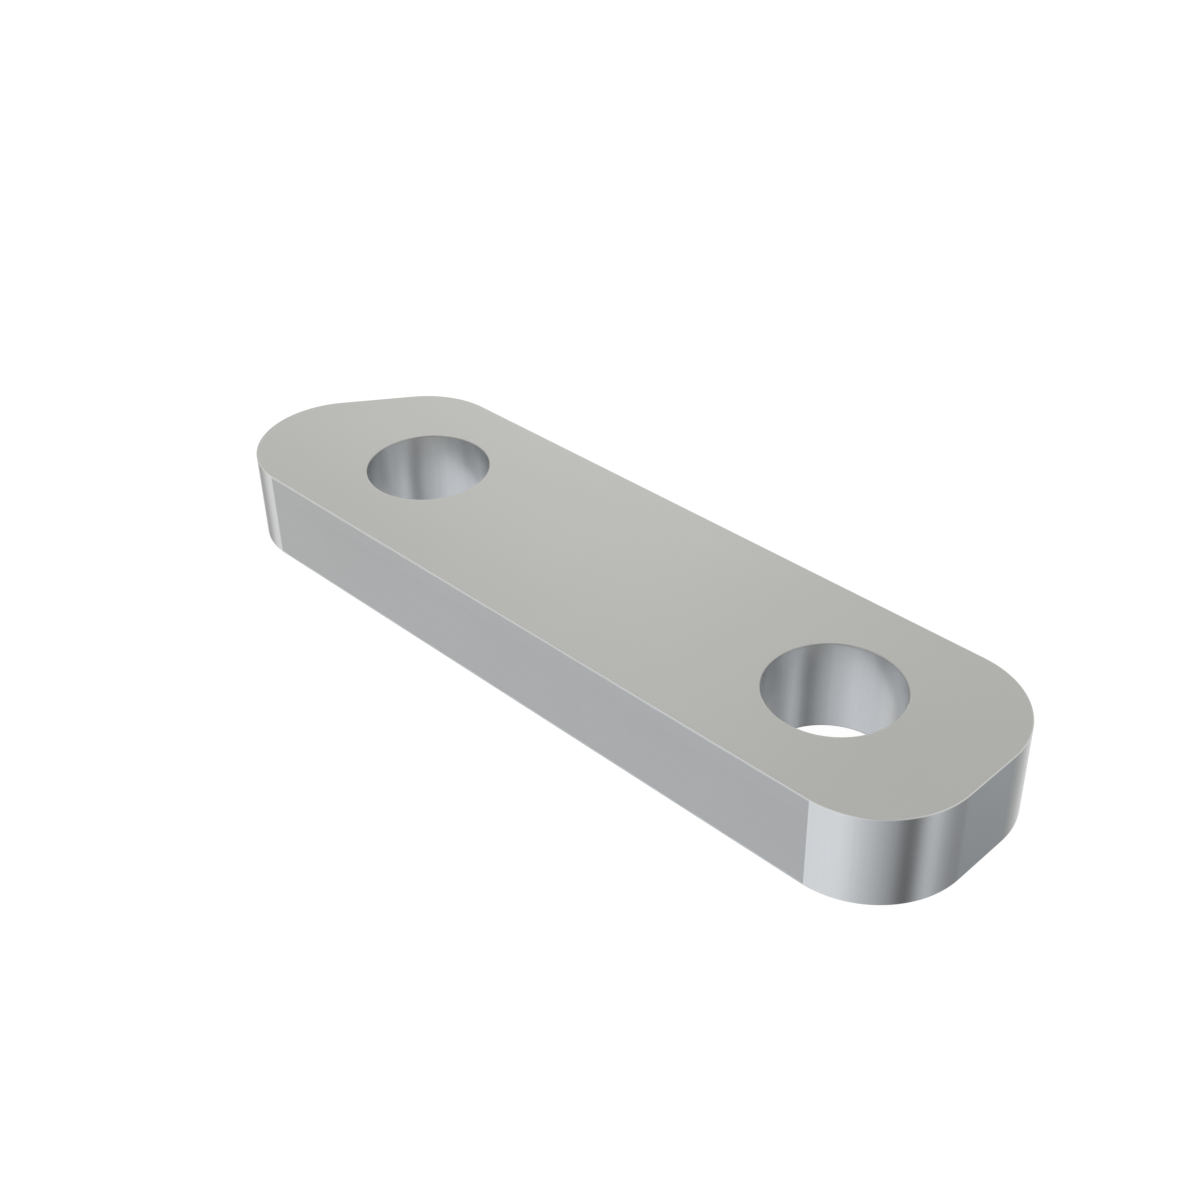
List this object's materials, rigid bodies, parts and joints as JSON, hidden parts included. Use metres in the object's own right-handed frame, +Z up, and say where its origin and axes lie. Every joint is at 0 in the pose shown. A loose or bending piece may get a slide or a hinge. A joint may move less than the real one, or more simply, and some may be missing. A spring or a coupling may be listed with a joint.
{
  "type": "rear axle support spacer",
  "caption": "Flat metal spacer plate with rounded corners, a square end, a slanted end and round bolt holes, clamped between a rear axle support and what it bolts to.",
  "frame": {"origin": "on the underside of the plate, midway between the middles of its bolt holes", "axes": "+X along the plate from the slanted end to the square end, +Z up through the thickness along the holes, +Y towards the side that the slant cuts back"},
  "size_m": [0.0911, 0.0254, 0.0097],
  "materials": {
    "plate_metal": "satin, fine ground grain, slightly broken edges"
  },
  "bodies": {
    "root": {"spacer_plate": "plate_metal"}
  },
  "joints": []
}
